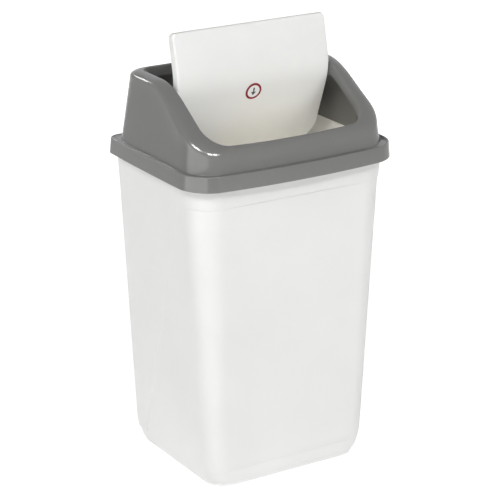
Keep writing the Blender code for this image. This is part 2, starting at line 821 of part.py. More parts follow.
def make_label(material, parent):
    """Thin round label that follows the bend of the flap."""
    bm = bmesh.new()
    centre = FLAP_UPPER_LENGTH + LABEL_DROP - label_shortfall()
    bmesh.ops.create_cone(
        bm,
        cap_ends=True,
        segments=LABEL_SIDES,
        radius1=LABEL_RADIUS,
        radius2=LABEL_RADIUS,
        depth=LABEL_THICKNESS,
    )
    bmesh.ops.translate(bm, vec=(0, centre, LABEL_GAP + LABEL_THICKNESS / 2), verts=bm.verts)
    cut_rows(bm, bend_rows()[: FLAP_BEND_STEPS + 1])
    bend_mesh(bm)
    label = finish_mesh("round_label", bm, material)
    label.parent = parent
    return label


def label_shortfall():
    """Length that the rounded bend saves against its two straight legs."""
    radius, first, second, _ = flap_marks()
    return 2 * FLAP_BEND_TANGENT - (second - first)


def main():
    """Build the whole bin."""
    clear_objects()
    make_body(make_material("white_plastic", WHITE, 0.35))
    lid = make_lid(make_material("grey_plastic", GREY, 0.30))
    flap = make_flap(make_material("flap_plastic", FLAP_WHITE, 0.35), lid)
    make_label(make_material("label_film", LABEL_WHITE, 0.40), flap)


main()
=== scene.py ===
"""Looks of a swing-top bin: white moulded body, grey hood and a white swinging flap.

Lengths are in metres, +Z is up and the wide front faces -Y.
"""
import math

import bmesh
import bpy
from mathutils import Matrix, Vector


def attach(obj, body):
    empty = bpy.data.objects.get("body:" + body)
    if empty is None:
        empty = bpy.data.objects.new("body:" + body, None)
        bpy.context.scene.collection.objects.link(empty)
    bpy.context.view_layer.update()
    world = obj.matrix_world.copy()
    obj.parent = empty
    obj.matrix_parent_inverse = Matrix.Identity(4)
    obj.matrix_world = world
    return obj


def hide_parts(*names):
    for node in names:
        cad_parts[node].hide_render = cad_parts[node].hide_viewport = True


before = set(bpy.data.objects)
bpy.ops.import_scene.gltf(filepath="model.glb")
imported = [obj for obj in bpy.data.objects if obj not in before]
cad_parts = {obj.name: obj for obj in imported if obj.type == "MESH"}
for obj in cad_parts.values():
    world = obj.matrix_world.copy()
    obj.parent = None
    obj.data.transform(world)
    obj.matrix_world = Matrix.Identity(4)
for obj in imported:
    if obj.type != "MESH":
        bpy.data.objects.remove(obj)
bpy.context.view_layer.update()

# Camera
VIEW_TURN = math.radians(-31.91)
VIEW_RISE = math.radians(19.63)
VIEW_DISTANCE = 3.55281
VIEW_LENS = 149.685
VIEW_CENTRE = Vector((0.0, 0.02145, 0.36082))
VIEW_SHIFT = 0.00405
SENSOR_WIDTH = 36.0
VIEW_END = 60.0

# Studio
FLOOR_SIZE = 24.0
FLOOR_COLOUR = (0.80, 0.80, 0.80, 1.0)
WHITE = (1.0, 1.0, 1.0, 1.0)
# Glow that brings the floor up to white where it is seen
FLOOR_LIFT = 0.79
# Soft light from all round, strongest low down at the front left
FILL_LIGHT = 0.22
FILL_TOP_SHARE = 0.05
FILL_TOP_START = 0.05
FILL_TOP_END = 0.75
FILL_REAR_SHARE = 0.50
FILL_REAR_START = -0.45
FILL_REAR_END = 0.45
FILL_FACING = (-0.6, -0.8, 0.0)
LAMP_AIM = Vector((0.0, 0.0, 0.42))
LAMP_DISTANCE = 6.0
# Each lamp: turn from -Y towards +X and rise, in degrees, width, height and power in watts
SIDE_LAMP = (-57.0, 43.0, 2.0, 0.45, 85.0)
FRONT_LAMP = (-8.0, 40.0, 3.0, 0.45, 95.0)
REAR_LAMP = (-172.0, 32.0, 0.3, 0.3, 24.0)
# Lamps that leave no reflection
LOW_LAMP = (-96.0, 4.0, 2.4, 2.4, 152.0)
NEAR_LAMP = (14.0, 6.0, 2.4, 2.4, 137.0)
BACK_LAMP = (155.0, 12.0, 3.0, 3.0, 110.0)
# Lamps that leave a reflection and nothing else
SIDE_SPARK = (-57.0, 43.0, 2.0, 0.55, 480.0)
FRONT_SPARK = (-8.0, 40.0, 3.0, 0.55, 600.0)
# Low card at the left whose reflection brightens the lid's corner: place, width, height, power
CORNER_CARD = (Vector((-1.30, -0.75, 0.62)), 2.1, 0.86, 16.0)
# Warm light that the milky walls let into the bin: place, aim, spread in degrees, power
FLAP_GLOW = (Vector((0.02, -0.045, 0.42)), Vector((0.02, 0.0, 0.57)), 110.0, 0.044)
WALL_GLOW = (Vector((-0.04, 0.0, 0.40)), Vector((0.18, -0.01, 0.45)), 64.0, 0.085)
INNER_LAMP_SIZE = 0.08
INNER_LAMP_COLOUR = (1.0, 0.93, 0.76)

# Walls, small gaps and roundings
BODY_WALL = 0.0023
LID_WALL = 0.0023
FLAP_WALL = 0.0022
SEAT_GAP = 0.0003
RIM_CLEARANCE = 0.0012
FLAP_SIDE_GAP = 0.0015
PIVOT_CLEARANCE = 0.0004
LABEL_GAP = 0.0003
EAR_BEVEL = 0.0004
PIN_BEVEL = 0.0005

# Body; every outline is half width, front, back, front radius and back radius
BODY_RIM_HEIGHT = 0.5565
BODY_HIGH_LEVEL = 0.4995
BODY_LOW_LEVEL = 0.0315
BODY_LOW = (0.1575, -0.1202, 0.1445, 0.0364, 0.0200)
BODY_HIGH = (0.1860, -0.1275, 0.1480, 0.0485, 0.0250)
RIM_THICKNESS = 0.0030
COLLAR_STEP = 0.0018
COLLAR_BEVEL = 0.0014

# Raised rear part of the side walls and its slanting edge
PANEL_RISE_LOW = 0.0035
PANEL_RISE_HIGH = 0.0018
PANEL_BOTTOM = 0.0270
PANEL_LEDGE = 0.0015
CREASE_LOW_Y = 0.1030
CREASE_HIGH_Y = -0.0590
CREASE_SAG = 0.0060
CREASE_WIDTH = 0.0034
# Shares of the edge's width, with the share of the rise at each
CREASE_SHARES = ((0.3, 0.08), (0.7, 0.46), (1.0, 0.54))
# Length behind the edge over which the rest of the rise comes in
CREASE_RUN_OUT = 0.0170

# Foot and base
FOOT_HEIGHT = 0.0065
FOOT_SIDE_INSET = 0.0118
FOOT_FRONT_INSET = 0.0078
FOOT_BACK_INSET = 0.0060
FOOT_FRONT_RADIUS = 0.0370
FOOT_BACK_RADIUS = 0.0140
FOOT_WIDTH = 0.0050
FOOT_DRAFT = 0.0006
FOOT_STEP = 0.0020
BASE_CURVE_TOP = 0.0475
BASE_CREASE_INSET = 0.0015
FLOOR_THICKNESS = 0.0030
FLOOR_INSET = 0.0140
PANEL_EDGE_SHARES = (0.18, 0.13)
CREASE_STEP_SHARE = 0.10
# Outside of the base: share of its height and share of the way from the wall to the foot
BASE_SHARES = ((0.03, 1.0), (0.08, 0.86), (0.18, 0.70), (0.32, 0.55), (0.50, 0.42), (0.72, 0.30))
# Inside of the base: share of the floor's inset and share of the height
FLOOR_SHARES = ((0.04, 0.80), (0.10, 0.62), (0.20, 0.45), (0.35, 0.28), (0.50, 0.18), (0.70, 0.08))

# Lid: skirt and gutter
SKIRT = (0.1992, -0.1406, 0.1553, 0.0475, 0.0225)
SKIRT_SIDE_BOW = 0.0023
SKIRT_FRONT_BOW = 0.0147
SKIRT_HEIGHT = 0.0262
SKIRT_DRAFT = 0.0020
BEAD_RADIUS = 0.0020
BEAD_FLAT = 0.0006
LEDGE_THICKNESS = 0.0055
GUTTER_DEPTH = 0.0032
GUTTER_REAR_DEPTH = 0.0010
GUTTER_FRONT_Y = 0.0300
GUTTER_REAR_Y = 0.1250
GUTTER_SLOPE = 0.0008
GUTTER_SHARES = (0.08, 0.20, 0.75, 1.0)

# Lid: hood
HOOD = (0.1884, -0.1276, 0.1442, 0.0495, 0.0385)
HOOD_FRONT_BOW = 0.0062
HOOD_DRAFT_SHARE = 0.1050
HOOD_RISE = 0.1185
HOOD_FRONT_RISE = 0.0328
HOOD_FRONT_BLEND = 0.0040
HOOD_BEND_Y = 0.0075
HOOD_BEND_BLEND = 0.0375
HOOD_SLOPE_SHARE = 0.585
HOOD_FILLET = 0.0016
REAR_SHOULDER = 0.0085
FRONT_SHOULDER = 0.0203
REAR_SHOULDER_Y = 0.0200
FRONT_SHOULDER_Y = -0.1100

# Lid: opening
MOUTH = (0.1485, -0.1078, 0.1105, 0.0360, 0.0140)
MOUTH_FRONT_BOW = 0.0078
CREST_SHARE = 0.79
LIP_DEPTH = 0.0165

# Pivot of the flap and the ears that carry it
PIVOT_Y = 0.0080
PIVOT_RISE = 0.0971
PIN_RADIUS = 0.0028
PIN_REACH = 0.0046
PIN_ROOT = 0.0015
EAR_THICKNESS = 0.0032
EAR_SET_BACK = 0.0004
EAR_HALF_WIDTH = 0.0070
EAR_RISE = 0.0058
EAR_DROP = 0.0075
CUT_OVERRUN = 0.0015

# Flap
FLAP_BEND_Y = -0.0147
FLAP_BEND_Z = 0.0122
FLAP_UPPER_LENGTH = 0.0913
FLAP_LOWER_LENGTH = 0.1520
FLAP_UPPER_LEAN = math.radians(13.3)
FLAP_LOWER_LEAN = math.radians(20.5)
FLAP_BEND_TANGENT = 0.0320
FLAP_TOP_RADIUS = 0.0100
FLAP_LOW_RADIUS = 0.0370
FLAP_LOW_BOW = 0.0060
FLAP_FLANGE = 0.0160
FLAP_EDGE_RADIUS = 0.0036

# Round label
LABEL_RADIUS = 0.0152
LABEL_THICKNESS = 0.0004
LABEL_DROP = 0.0277
LABEL_SIDES = 96
# Print on the label, in shares of its radius
RING_INSIDE = 0.745
PRINT_SOFT = 0.02
ARROW_SHAFT = 0.09
ARROW_SPAN = (-0.46, 0.06)
ARROW_TIP = 0.50
ARROW_TAPER = 0.72

# Depth that light sinks into the flap, with its shares for red, green and blue
MILKY_DEPTH = 0.006
MILKY_SHARES = (1.0, 0.85, 0.65)

# Plastics: tone, roughness, gloss, milkiness and depth of the grain
BODY_FINISH = ((0.86, 0.86, 0.848), 0.40, 0.4, 0.0, 0.00001)
LID_FINISH = ((0.190, 0.189, 0.184), 0.16, 0.32, 0.0, 0.000005)
FLAP_FINISH = ((0.86, 0.86, 0.84), 0.36, 0.4, 0.15, 0.00001)
LABEL_FINISH = ((0.86, 0.86, 0.86), 0.30, 0.4, 0.0, 0.000005)
PRINT_RED = (0.23, 0.002, 0.008)
PRINT_GREY = (0.06, 0.06, 0.065)
BLACK = (0.0, 0.0, 0.0)
# Noise patterns: scale, detail and stretch along X, Y and Z
EVEN = (1.0, 1.0, 1.0)
DRIFT_NOISE = (7.0, 3.0, EVEN)
SHEEN_NOISE = (55.0, 4.0, EVEN)
RUB_NOISE = (90.0, 2.0, (1.0, 1.0, 0.08))
WAVE_NOISE = (11.0, 1.0, EVEN)
GRAIN_NOISE = (1400.0, 2.0, EVEN)
# Noise values between which a pattern comes in, and how much it then changes
CLOUD_RANGE = (0.3, 0.7)
RUB_RANGE = (0.55, 0.75)
DRIFT_SHARE = 0.025
SHEEN_SPAN = 0.04
RUB_SPAN = 0.015
WAVE_DEPTH = 0.0006

# Divisions
CORNER_STEPS = 18
FRONT_STEPS = 14
BACK_STEPS = 12
SIDE_STEPS = 26
WALL_STEPS = 26
RIM_STEPS = 14
LIP_STEPS = 10
BEAD_STEPS = 4
EAR_BEVEL_STEPS = 2
PIN_SIDES = 40
PIN_BEVEL_STEPS = 3
FLAP_EDGE_STEPS = 8
BEND_STEPS = 22
UPPER_STEPS = 4
LOWER_STEPS = 7
LABEL_STEPS = 16
# Angles from which an edge is shaded sharp
BODY_SHARP = math.radians(28)
LID_SHARP = math.radians(32)
FLAP_SHARP = math.radians(30)

LEDGE_UNDERSIDE = BODY_RIM_HEIGHT + SEAT_GAP
LEDGE_TOP = LEDGE_UNDERSIDE + LEDGE_THICKNESS
SKIRT_BOTTOM = LEDGE_TOP - SKIRT_HEIGHT
HOOD_TOP = LEDGE_TOP + HOOD_RISE
HOOD_FRONT_TOP = LEDGE_TOP + HOOD_FRONT_RISE
PIVOT_Z = LEDGE_TOP + PIVOT_RISE
FLAP_HALF_WIDTH = MOUTH[0] - FLAP_SIDE_GAP


# Outlines


def mix(low, high, share):
    """Value at a share of the way from low to high."""
    return low + (high - low) * share


def mix_sizes(low, high, share):
    """Outline size between two others."""
    return tuple(mix(a, b, share) for a, b in zip(low, high))


def shrink(size, inset):
    """Outline size moved inward."""
    width, front, back, front_radius, back_radius = size
    return (width - inset, front + inset, back - inset, front_radius - inset, back_radius - inset)


def arc(centre_x, centre_y, radius, start):
    """Quarter circle."""
    points = []
    for step in range(CORNER_STEPS + 1):
        angle = start + math.pi / 2 * step / CORNER_STEPS
        points.append((centre_x + radius * math.cos(angle), centre_y + radius * math.sin(angle)))
    return points


def half_outline(size, sides, rear_rise):
    """Right half of a rounded outline, from the middle of the front to the middle of the back."""
    width, front, back, front_radius, back_radius = size
    wide = width + rear_rise
    points = [(step / FRONT_STEPS * (width - front_radius), front) for step in range(FRONT_STEPS)]
    points += arc(width - front_radius, front + front_radius, front_radius, -math.pi / 2)
    points += [(width + rear_rise * rise, place) for place, rise in sides]
    points += arc(wide - back_radius, back - back_radius, back_radius, 0.0)
    points += [(step / BACK_STEPS * (wide - back_radius), back) for step in reversed(range(BACK_STEPS))]
    return points


def full_outline(half):
    """Whole outline, mirrored in X, running anticlockwise seen from above."""
    return half + [(-x, y) for x, y in reversed(half[1:-1])]


def bow_outline(points, size, front_bow, side_bow):
    """Bow the front edge forward and the sides outward."""
    width, front, back = size[:3]
    middle = (front + back) / 2
    bowed = []
    for x, y in points:
        along = max(0.0, (middle - y) / (middle - front))
        reach = (y - middle) / (back - middle)
        new_y = y - front_bow * (1 - (x / width) ** 2) * along
        bowed.append((x + side_bow * (1 - reach**2) * x / width, new_y))
    return bowed


def plain_sides(size):
    """Evenly spread places along a side wall."""
    start = size[1] + size[3]
    end = size[2] - size[4]
    return [(mix(start, end, step / SIDE_STEPS), 1.0) for step in range(1, SIDE_STEPS)]


def at_height(points, height):
    """Outline points lifted to one height."""
    return [Vector((x, y, height)) for x, y in points]


# Mesh helpers


def loop_edges(verts):
    """Edges of a closed loop of vertices."""
    edges = []
    for index, vert in enumerate(verts):
        other = verts[(index + 1) % len(verts)]
        edges.append(next(edge for edge in vert.link_edges if other in edge.verts))
    return edges


def start_loop(bm, points):
    """First loop of a skin."""
    verts = [bm.verts.new(point) for point in points]
    for index, vert in enumerate(verts):
        bm.edges.new((vert, verts[(index + 1) % len(verts)]))
    return verts


def extrude_loop(bm, verts, points):
    """Extrude a loop of edges and move the new loop to its places."""
    made = bmesh.ops.extrude_edge_only(bm, edges=loop_edges(verts))["geom"]
    fresh = {item for item in made if isinstance(item, bmesh.types.BMVert)}
    result = []
    for vert, point in zip(verts, points):
        partner = next(e.other_vert(vert) for e in vert.link_edges if e.other_vert(vert) in fresh)
        partner.co = point
        result.append(partner)
    return result


def skin(rings, closed):
    """Skin through rings: joined end to end, or filled at both ends."""
    bm = bmesh.new()
    first = start_loop(bm, rings[0])
    verts = first
    for ring in rings[1:] + (rings[:1] if closed else []):
        verts = extrude_loop(bm, verts, ring)
    if closed:
        bmesh.ops.weld_verts(bm, targetmap=dict(zip(verts, first)))
    else:
        bmesh.ops.contextual_create(bm, geom=first)
        bmesh.ops.contextual_create(bm, geom=verts)
    return bm


def link_mesh(name, bm, material, sharp):
    """Put a bmesh in the scene as a smooth piece."""
    bmesh.ops.recalc_face_normals(bm, faces=bm.faces)
    if bm.calc_volume(signed=True) < 0:
        bmesh.ops.reverse_faces(bm, faces=bm.faces)
    mesh = bpy.data.meshes.new(name)
    bm.to_mesh(mesh)
    bm.free()
    mesh.materials.append(material)
    mesh.shade_smooth()
    mesh.set_sharp_from_angle(angle=sharp)
    piece = bpy.data.objects.new(name, mesh)
    bpy.context.scene.collection.objects.link(piece)
    return piece


def settle(piece):
    """Apply the modifiers of a piece to its mesh."""
    view = bpy.context.evaluated_depsgraph_get()
    mesh = bpy.data.meshes.new_from_object(piece.evaluated_get(view))
    piece.modifiers.clear()
    piece.data = mesh


def combine(piece, helper, operation):
    """Join a helper to a piece, or cut it away, and drop the helper."""
    modifier = piece.modifiers.new(operation, "BOOLEAN")
    modifier.operation = operation
    modifier.solver = "EXACT"
    modifier.object = helper
    settle(piece)
    bpy.data.objects.remove(helper)


def soften(bm, edges, width, steps):
    """Round edges off."""
    bmesh.ops.bevel(
        bm, geom=edges, offset=width, segments=steps, profile=0.5, affect="EDGES", material=-1
    )


def make_block(low, high):
    """Box between two corners, its edges softened."""
    bm = bmesh.new()
    bmesh.ops.create_cube(bm, size=1.0)
    bmesh.ops.scale(bm, vec=high - low, verts=bm.verts)
    bmesh.ops.translate(bm, vec=(low + high) / 2, verts=bm.verts)
    soften(bm, bm.edges[:], EAR_BEVEL, EAR_BEVEL_STEPS)
    return helper_object(bm)


def make_rod(start, end, radius, place, soft):
    """Rod along X through a place, its ends softened by a width or left square."""
    bm = bmesh.new()
    bmesh.ops.create_cone(
        bm, cap_ends=True, segments=PIN_SIDES, radius1=radius, radius2=radius, depth=end - start
    )
    if soft:
        rims = [e for e in bm.edges if any(len(face.verts) == PIN_SIDES for face in e.link_faces)]
        soften(bm, rims, soft, PIN_BEVEL_STEPS)
    for vert in bm.verts:
        x, y, z = vert.co
        vert.co = (z + (start + end) / 2, place[0] + x, place[1] + y)
    bmesh.ops.recalc_face_normals(bm, faces=bm.faces)
    return helper_object(bm)


def helper_object(bm):
    """Short-lived shape that a Boolean reads."""
    mesh = bpy.data.meshes.new("helper")
    bm.to_mesh(mesh)
    bm.free()
    helper = bpy.data.objects.new("helper", mesh)
    bpy.context.scene.collection.objects.link(helper)
    return helper


# Body


def body_share(height):
    """Share of the way up the drafted wall."""
    return (height - BODY_LOW_LEVEL) / (BODY_HIGH_LEVEL - BODY_LOW_LEVEL)


def body_size(level):
    """Outline size of the drafted wall at a level."""
    return mix_sizes(BODY_LOW, BODY_HIGH, body_share(level))


def crease_y(level):
    """Place of the slanting edge on the side wall; it sags most half way up."""
    share = min(1.0, max(0.0, body_share(level)))
    return mix(CREASE_LOW_Y, CREASE_HIGH_Y, share) - CREASE_SAG * 4 * share * (1 - share)


def crease_sides(size, level):
    """Side places around the slanting edge, with the share of the step at each."""
    start = size[1] + size[3]
    end = size[2] - size[4]
    near = crease_y(level) - CREASE_WIDTH / 2
    far = crease_y(level) + CREASE_WIDTH / 2
    front = SIDE_STEPS // 2
    rear = SIDE_STEPS - front - len(CREASE_SHARES) - 1
    places = [(mix(start, near, step / front), 0.0) for step in range(1, front + 1)]
    places += [(mix(near, far, across), rise) for across, rise in CREASE_SHARES]
    for step in range(1, rear):
        place = mix(far, end, step / rear)
        left = max(0.0, 1.0 - (place - far) / CREASE_RUN_OUT)
        places.append((place, mix(1.0, CREASE_SHARES[-1][1], left**2)))
    return places


def panel_ring(size, height, rear_rise, level):
    """Ring at a height whose sides follow the slanting edge of a level."""
    half = half_outline(size, crease_sides(size, level), rear_rise)
    return at_height(full_outline(half), height)


def body_ring(height, inset, rear_rise, level):
    """Ring of the body: the drafted outline of one level, inset, at a height."""
    return panel_ring(shrink(body_size(level), inset), height, rear_rise, level)


def panel_rise(level):
    """How far the rear of the side stands proud."""
    return mix(PANEL_RISE_LOW, PANEL_RISE_HIGH, body_share(level))


def wall_levels():
    """Heights of the rings up the wall."""
    return [mix(BASE_CURVE_TOP, BODY_HIGH_LEVEL, step / WALL_STEPS) for step in range(WALL_STEPS + 1)]


def foot_size():
    """Outline size of the foot ring."""
    width, front, back = body_size(BODY_LOW_LEVEL)[:3]
    radii = (FOOT_FRONT_RADIUS, FOOT_BACK_RADIUS)
    return (width - FOOT_SIDE_INSET, front + FOOT_FRONT_INSET, back - FOOT_BACK_INSET, *radii)


def foot_ring(height, inset):
    """Ring of the foot."""
    return panel_ring(shrink(foot_size(), inset), height, 0.0, BODY_LOW_LEVEL)


def base_ring(height, share, rear_rise):
    """Ring of the rounded base, at a share of the way from the wall's crease to the foot."""
    crease = shrink(body_size(BODY_LOW_LEVEL), BASE_CREASE_INSET)
    size = mix_sizes(crease, shrink(foot_size(), -FOOT_STEP), share)
    return panel_ring(size, height, rear_rise, BODY_LOW_LEVEL)


def base_rings():
    """Underside, foot ring and rounded base."""
    soft = FOOT_DRAFT
    rings = [
        foot_ring(FOOT_HEIGHT, FOOT_WIDTH + FOOT_DRAFT),
        foot_ring(soft, FOOT_WIDTH),
        foot_ring(0.0, FOOT_WIDTH - soft),
        foot_ring(0.0, soft),
        foot_ring(soft, 0.0),
        foot_ring(FOOT_HEIGHT, -FOOT_DRAFT),
    ]
    for rise, share in BASE_SHARES:
        rings.append(base_ring(mix(FOOT_HEIGHT, PANEL_BOTTOM, rise), share, 0.0))
    rings.append(base_ring(PANEL_BOTTOM, PANEL_EDGE_SHARES[0], 0.0))
    rings.append(base_ring(PANEL_BOTTOM + PANEL_LEDGE, PANEL_EDGE_SHARES[1], PANEL_RISE_LOW))
    rings.append(base_ring(BODY_LOW_LEVEL - PANEL_LEDGE / 2, CREASE_STEP_SHARE, PANEL_RISE_LOW))
    rings.append(base_ring(BODY_LOW_LEVEL, 0.0, PANEL_RISE_LOW))
    return rings


def rim_ring(height, inset):
    """Ring of the rim flange, inside the lid's skirt."""
    size = shrink(SKIRT, SKIRT_DRAFT + LID_WALL + RIM_CLEARANCE + inset)
    half = half_outline(size, crease_sides(size, BODY_HIGH_LEVEL), 0.0)
    return at_height(bow_outline(full_outline(half), size, SKIRT_FRONT_BOW, SKIRT_SIDE_BOW), height)


def upper_rings():
    """Collar and rim flange."""
    collar = BODY_HIGH_LEVEL + COLLAR_BEVEL
    neck = BODY_RIM_HEIGHT - RIM_THICKNESS * 2
    under = BODY_RIM_HEIGHT - RIM_THICKNESS
    soft = RIM_THICKNESS / 4
    return [
        body_ring(collar, -COLLAR_STEP, 0.0, collar),
        body_ring(neck, -COLLAR_STEP, 0.0, neck),
        body_ring(under - soft, -COLLAR_STEP - soft, 0.0, neck),
        rim_ring(under, soft),
        rim_ring(under + soft, 0.0),
        rim_ring(BODY_RIM_HEIGHT - soft, 0.0),
        rim_ring(BODY_RIM_HEIGHT, soft),
        body_ring(BODY_RIM_HEIGHT, BODY_WALL - COLLAR_STEP - soft, 0.0, BODY_RIM_HEIGHT),
        body_ring(BODY_RIM_HEIGHT - soft, BODY_WALL - COLLAR_STEP, 0.0, BODY_RIM_HEIGHT),
    ]


def inner_rings():
    """Inside of the wall, from the collar down to the floor."""
    collar = BODY_HIGH_LEVEL + COLLAR_BEVEL
    rings = [body_ring(collar, BODY_WALL - COLLAR_STEP, 0.0, collar)]
    for level in reversed(wall_levels()):
        rings.append(body_ring(level, BODY_WALL, panel_rise(level), level))
    floor = FOOT_HEIGHT + FLOOR_THICKNESS
    for share, rise in FLOOR_SHARES:
        depth = BODY_WALL + BASE_CREASE_INSET + FLOOR_INSET * share
        rings.append(body_ring(mix(floor, BASE_CURVE_TOP, rise), depth, 0.0, BODY_LOW_LEVEL))
    rings.append(body_ring(floor, BODY_WALL + BASE_CREASE_INSET + FLOOR_INSET, 0.0, BODY_LOW_LEVEL))
    return rings


def make_body(material):
    """The bin's body in one moulding."""
    rings = base_rings()
    for level in wall_levels():
        rings.append(body_ring(level, 0.0, panel_rise(level), level))
    rings += upper_rings() + inner_rings()
    piece = link_mesh("body_shell", skin(rings, False), material, BODY_SHARP)
    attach(piece, "bin")
    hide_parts("bin_body")


# Lid


def lid_outline(size, front_bow, side_bow):
    """Full bowed outline for the lid."""
    half = half_outline(size, plain_sides(size), 0.0)
    return bow_outline(full_outline(half), size, front_bow, side_bow)


def crest_height(y):
    """Height of the rim's crest for a place on the hood's wall."""
    ahead = y - HOOD_BEND_Y
    if ahead >= HOOD_BEND_BLEND:
        drop = 0.0
    elif ahead <= -HOOD_BEND_BLEND:
        drop = -HOOD_SLOPE_SHARE * ahead
    else:
        drop = HOOD_SLOPE_SHARE * (HOOD_BEND_BLEND - ahead) ** 2 / (4 * HOOD_BEND_BLEND)
    spare = HOOD_TOP - drop - HOOD_FRONT_TOP
    if spare >= HOOD_FRONT_BLEND:
        return HOOD_FRONT_TOP + spare
    if spare <= -HOOD_FRONT_BLEND:
        return HOOD_FRONT_TOP
    return HOOD_FRONT_TOP + (spare + HOOD_FRONT_BLEND) ** 2 / (4 * HOOD_FRONT_BLEND)


def shoulder_depth(y):
    """Depth of the rounded shoulder below the crest."""
    share = (y - REAR_SHOULDER_Y) / (FRONT_SHOULDER_Y - REAR_SHOULDER_Y)
    return mix(REAR_SHOULDER, FRONT_SHOULDER, min(1.0, max(0.0, share)))


def hood_wall(height, inset):
    """Outline of the hood's drafted wall at a height."""
    lean = HOOD_DRAFT_SHARE * (height - LEDGE_TOP)
    width, front, back, front_radius, back_radius = shrink(HOOD, inset)
    size = (width - lean, front + lean, back - lean, front_radius, back_radius)
    return lid_outline(size, HOOD_FRONT_BOW, 0.0)


def wall_tops(inset):
    """Places on the wall where the shoulder starts, with the crest height and shoulder depth of each."""
    low = hood_wall(LEDGE_TOP, inset)
    high = hood_wall(HOOD_TOP, inset)
    places = []
    for (low_x, low_y), (high_x, high_y) in zip(low, high):
        crest = crest_height(low_y)
        depth = shoulder_depth(low_y)
        share = (crest - depth - LEDGE_TOP) / (HOOD_TOP - LEDGE_TOP)
        places.append((mix(low_x, high_x, share), mix(low_y, high_y, share), crest, depth))
    return places


def rim_drop(across, shoulder, wall):
    """Drop below the crest at a share across the rim, a wall's thickness inside the surface."""
    if across < CREST_SHARE:
        away = 1 - across / CREST_SHARE
        scale = shoulder - wall
    else:
        away = (across - CREST_SHARE) / (1 - CREST_SHARE)
        scale = LIP_DEPTH - wall
    return wall + scale * (1 - math.sqrt(max(0.0, 1 - away**2)))


def rim_band(walls, mouth, across, wall):
    """Ring across the rim."""
    ring = []
    for (wall_x, wall_y, crest, shoulder), (x, y) in zip(walls, mouth):
        height = crest - rim_drop(across, shoulder, wall)
        ring.append(Vector((mix(wall_x, x, across), mix(wall_y, y, across), height)))
    return ring


def rim_places():
    """Shares across the rim, close together where it turns fastest."""
    places = []
    for step in range(RIM_STEPS):
        places.append(CREST_SHARE * (1 - math.cos(math.pi / 2 * step / RIM_STEPS)))
    for step in range(LIP_STEPS + 1):
        places.append(mix(CREST_SHARE, 1.0, math.sin(math.pi / 2 * step / LIP_STEPS)))
    return places


def skirt_ring(height, inset):
    """Ring of the skirt."""
    return at_height(lid_outline(shrink(SKIRT, inset), SKIRT_FRONT_BOW, SKIRT_SIDE_BOW), height)


def gutter_depth(y):
    """Depth of the gutter, which runs out towards the back."""
    share = min(1.0, max(0.0, (GUTTER_REAR_Y - y) / (GUTTER_REAR_Y - GUTTER_FRONT_Y)))
    return mix(GUTTER_REAR_DEPTH, GUTTER_DEPTH, share * share * (3 - 2 * share))


def gutter_ring(outline, share, rise):
    """Ring in the gutter, at a share of its depth or a rise above it."""
    return [Vector((x, y, LEDGE_TOP - gutter_depth(y) * share + rise)) for x, y in outline]


def skirt_rings():
    """Outside of the skirt, its rounded bead and the gutter up to the hood's foot."""
    rings = [skirt_ring(SKIRT_BOTTOM + BEAD_FLAT, 0.0)]
    for step in range(BEAD_STEPS + 1):
        angle = math.pi / 2 * step / BEAD_STEPS
        inset = SKIRT_DRAFT + BEAD_RADIUS * (1 - math.cos(angle))
        rings.append(skirt_ring(LEDGE_TOP - BEAD_RADIUS * (1 - math.sin(angle)), inset))
    edge = SKIRT_DRAFT + BEAD_RADIUS + BEAD_FLAT
    steps = (0.0, BEAD_FLAT / 2, BEAD_FLAT / 2 + GUTTER_SLOPE, BEAD_FLAT / 2 + GUTTER_SLOPE * 2)
    for share, step in zip(GUTTER_SHARES, steps):
        outline = lid_outline(shrink(SKIRT, edge + step), SKIRT_FRONT_BOW, SKIRT_SIDE_BOW)
        rings.append(gutter_ring(outline, share, 0.0))
    level = LEDGE_TOP - GUTTER_DEPTH
    rings.append(gutter_ring(hood_wall(level, -HOOD_FILLET), 1.0, 0.0))
    rings.append(gutter_ring(hood_wall(level, -HOOD_FILLET / 3), 1.0, HOOD_FILLET / 3))
    rings.append(gutter_ring(hood_wall(level + HOOD_FILLET, 0.0), 1.0, HOOD_FILLET))
    return rings


def lid_rings():
    """Rings of the lid: skirt, gutter, hood wall, rim and the inside back to the skirt."""
    rings = skirt_rings()
    walls = wall_tops(0.0)
    mouth = lid_outline(MOUTH, MOUTH_FRONT_BOW, 0.0)
    shares = rim_places()
    rings += [rim_band(walls, mouth, across, 0.0) for across in shares]
    inner_walls = wall_tops(LID_WALL)
    inner_mouth = lid_outline(shrink(MOUTH, -LID_WALL), MOUTH_FRONT_BOW, 0.0)
    rings += [rim_band(inner_walls, inner_mouth, across, LID_WALL) for across in reversed(shares)]
    under = LEDGE_UNDERSIDE
    rings += [
        at_height(hood_wall(under, LID_WALL), under),
        skirt_ring(under, SKIRT_DRAFT + LID_WALL),
        skirt_ring(SKIRT_BOTTOM, LID_WALL),
        skirt_ring(SKIRT_BOTTOM, BEAD_FLAT),
    ]
    return rings


def make_lid(material):
    """Lid in one moulding, with an ear and a pivot hole on each side."""
    lid = link_mesh("hood_shell", skin(lid_rings(), True), material, LID_SHARP)
    inner = MOUTH[0] + EAR_SET_BACK
    outer = inner + EAR_THICKNESS
    low = (PIVOT_Y - EAR_HALF_WIDTH, PIVOT_Z - EAR_DROP)
    high = (PIVOT_Y + EAR_HALF_WIDTH, PIVOT_Z + EAR_RISE)
    combine(lid, make_block(Vector((inner, *low)), Vector((outer, *high))), "UNION")
    combine(lid, make_block(Vector((-outer, *low)), Vector((-inner, *high))), "UNION")
    reach = outer + CUT_OVERRUN
    bore = PIN_RADIUS + PIVOT_CLEARANCE
    combine(lid, make_rod(-reach, reach, bore, (PIVOT_Y, PIVOT_Z), 0.0), "DIFFERENCE")
    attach(lid, "lid")
    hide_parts("lid_hood")


# Flap


